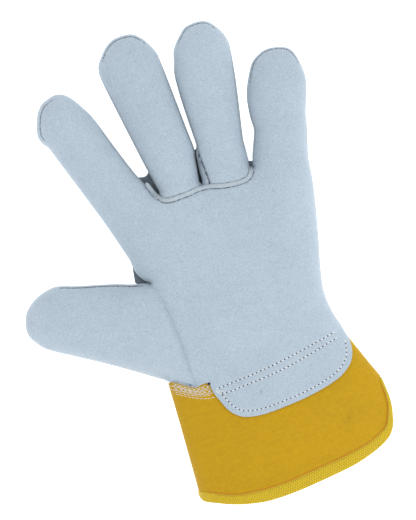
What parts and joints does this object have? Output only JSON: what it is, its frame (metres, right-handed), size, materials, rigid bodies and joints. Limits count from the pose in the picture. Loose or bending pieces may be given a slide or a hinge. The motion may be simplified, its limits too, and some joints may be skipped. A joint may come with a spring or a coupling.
{
  "type": "leather work glove",
  "caption": "Grey split-leather work glove for the left hand with a stiff yellow safety cuff; it covers and protects the hand and wrist.",
  "frame": {"origin": "under the middle of the glove, on the surface it lies on, back of the hand down", "axes": "+X from the thumb side to the little-finger side, +Y from the cuff to the fingertips, +Z out of the palm"},
  "size_m": [0.2041, 0.2802, 0.0422],
  "materials": {
    "leather": "grey split cowhide with a fine suede nap",
    "gusset_leather": "grey split cowhide side strips",
    "welt_leather": "thin folded leather welt",
    "strap_leather": "grey split cowhide strap",
    "cuff_fabric": "rubberised cotton, satin mustard yellow",
    "hem_tape": "woven yellow tape",
    "cotton": "plain cotton drill",
    "elastic": "woven elastic",
    "thread": "white sewing thread",
    "hem_thread": "orange sewing thread"
  },
  "bodies": {
    "hand": {"palm_panel": "leather", "back_panel": "leather", "crotch_gussets": "gusset_leather", "knuckle_strap": "strap_leather", "palm_seam_welt": "welt_leather", "thumb_seam_welt": "welt_leather", "palm_lining": "cotton", "wrist_elastic": "elastic", "cuff_shell": "cuff_fabric", "cuff_lining": "cotton", "hem_binding": "hem_tape", "patch_row_stitching": "thread", "patch_edge_stitching": "thread", "cuff_overlock": "thread", "cuff_row_stitching": "thread", "strap_stitching": "thread", "binding_stitching": "hem_thread"},
    "index_finger": {"index_front": "leather", "index_back": "leather", "index_fourchette": "gusset_leather"},
    "middle_finger": {"middle_front": "leather", "middle_back": "leather", "middle_fourchette_index_side": "gusset_leather", "middle_fourchette_ring_side": "gusset_leather"},
    "ring_finger": {"ring_front": "leather", "ring_back": "leather", "ring_fourchette_middle_side": "gusset_leather", "ring_fourchette_little_side": "gusset_leather"},
    "little_finger": {"little_front": "leather", "little_back": "leather", "little_fourchette": "gusset_leather"},
    "thumb": {"thumb_front": "leather", "thumb_back": "leather"}
  },
  "joints": [
    {"name": "index_flex", "type": "hinge", "parent": "hand", "child": "index_finger", "pos_m": [-0.0222, 0.0482, 0.028], "axis": [1, 0, 0], "range_deg": [0, 70], "stiffness_Nm_per_rad": 0.04},
    {"name": "middle_flex", "type": "hinge", "parent": "hand", "child": "middle_finger", "pos_m": [0.0106, 0.0492, 0.028], "axis": [1, 0, 0], "range_deg": [0, 70], "stiffness_Nm_per_rad": 0.04},
    {"name": "ring_flex", "type": "hinge", "parent": "hand", "child": "ring_finger", "pos_m": [0.0398, 0.0482, 0.028], "axis": [1, 0, 0], "range_deg": [0, 70], "stiffness_Nm_per_rad": 0.04},
    {"name": "little_flex", "type": "hinge", "parent": "hand", "child": "little_finger", "pos_m": [0.0742, 0.0422, 0.028], "axis": [1, 0, 0], "range_deg": [0, 70], "stiffness_Nm_per_rad": 0.04},
    {"name": "thumb_flex", "type": "hinge", "parent": "hand", "child": "thumb", "pos_m": [-0.0248, -0.0274, 0.028], "axis": [0, 1, 0], "range_deg": [0, 60], "stiffness_Nm_per_rad": 0.04}
  ]
}
